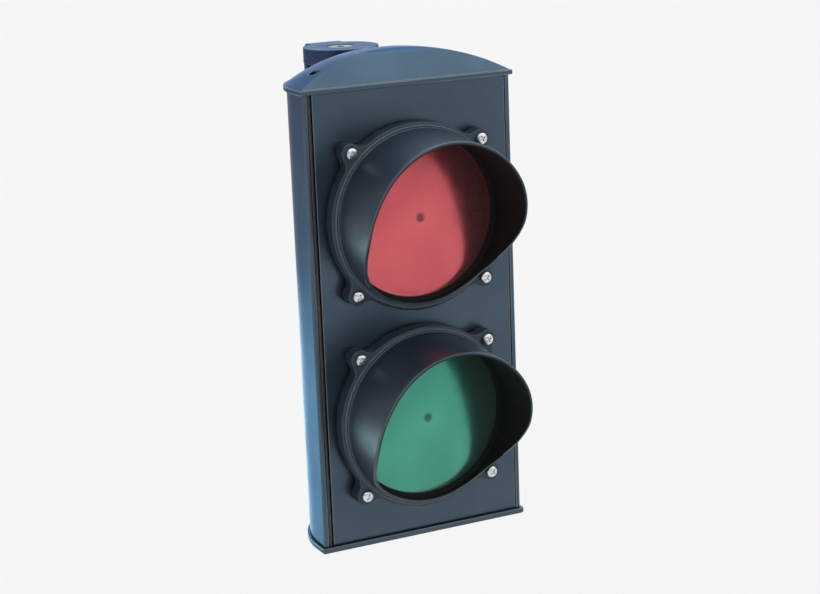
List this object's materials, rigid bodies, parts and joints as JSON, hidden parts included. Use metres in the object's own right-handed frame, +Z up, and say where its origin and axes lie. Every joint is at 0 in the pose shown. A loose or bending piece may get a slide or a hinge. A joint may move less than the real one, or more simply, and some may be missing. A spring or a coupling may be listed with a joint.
{
  "type": "traffic signal head",
  "caption": "Red and green traffic signal head with cut-away visors, domed cap and curved aluminium housing on a C-shaped swivel wall bracket.",
  "frame": {"origin": "middle of the wall face of the C-shaped bracket, at mid-height of the head", "axes": "+X to the right seen from the front, +Y into the wall, +Z up; the lamps shine along -Y"},
  "size_m": [0.1646, 0.2171, 0.3656],
  "materials": {
    "painted_aluminium": "satin dark blue-grey powder coat",
    "bracket_paint": "semi-gloss blue-black powder coat",
    "visor_plastic": "satin black moulded plastic",
    "gland_plastic": "matte black polyamide",
    "red_lens": "glossy translucent red polycarbonate",
    "green_lens": "glossy translucent green polycarbonate",
    "reflector_white": "glossy white moulded plastic",
    "board_green": "solder-masked circuit board",
    "terminal_grey": "matte grey plastic",
    "lead_grey": "soft grey sheath",
    "rubber": "matte black rubber",
    "stainless": "bright stainless steel",
    "yellow_zinc": "yellow-passivated zinc plate"
  },
  "bodies": {
    "bracket": {"wall_bracket": "bracket_paint", "upper_serrated_ring": "yellow_zinc", "upper_pivot_washer": "yellow_zinc", "upper_pivot_bolt": "yellow_zinc", "upper_pivot_nut": "yellow_zinc", "lower_serrated_ring": "yellow_zinc", "lower_pivot_washer": "yellow_zinc", "lower_pivot_bolt": "yellow_zinc", "lower_pivot_nut": "yellow_zinc"},
    "head": {"housing_shell": "painted_aluminium", "front_panel": "painted_aluminium", "top_cap": "painted_aluminium", "bottom_cap": "painted_aluminium", "upper_swivel_arm": "bracket_paint", "lower_swivel_arm": "bracket_paint", "panel_seal_left": "rubber", "panel_seal_right": "rubber", "top_cap_gasket": "rubber", "bottom_cap_gasket": "rubber", "gland_seal": "rubber", "top_cap_screw_front_left": "stainless", "bottom_cap_screw_front_left": "stainless", "top_cap_screw_front_right": "stainless", "bottom_cap_screw_front_right": "stainless", "top_cap_screw_rear_left": "stainless", "bottom_cap_screw_rear_left": "stainless", "top_cap_screw_rear_right": "stainless", "bottom_cap_screw_rear_right": "stainless", "red_visor": "visor_plastic", "red_visor_gasket": "rubber", "red_lens_seal": "rubber", "red_lens": "red_lens", "red_reflector": "reflector_white", "red_led_board": "board_green", "red_lamp_lead": "lead_grey", "red_visor_screw_top_left": "stainless", "red_visor_screw_top_right": "stainless", "red_visor_screw_bottom_right": "stainless", "red_visor_screw_bottom_left": "stainless", "green_visor": "visor_plastic", "green_visor_gasket": "rubber", "green_lens_seal": "rubber", "green_lens": "green_lens", "green_reflector": "reflector_white", "green_led_board": "board_green", "green_lamp_lead": "lead_grey", "green_visor_screw_top_left": "stainless", "green_visor_screw_top_right": "stainless", "green_visor_screw_bottom_right": "stainless", "green_visor_screw_bottom_left": "stainless", "terminal_block": "terminal_grey", "gland_body": "gland_plastic", "gland_dome_nut": "gland_plastic", "gland_locknut": "gland_plastic", "upper_arm_screw_left": "stainless", "upper_arm_screw_right": "stainless", "lower_arm_screw_left": "stainless", "lower_arm_screw_right": "stainless"}
  },
  "joints": [
    {"name": "head_pan", "type": "hinge", "parent": "bracket", "child": "head", "pos_m": [0, -0.04, 0], "axis": [0, 0, 1], "range_deg": [-60, 60]}
  ]
}
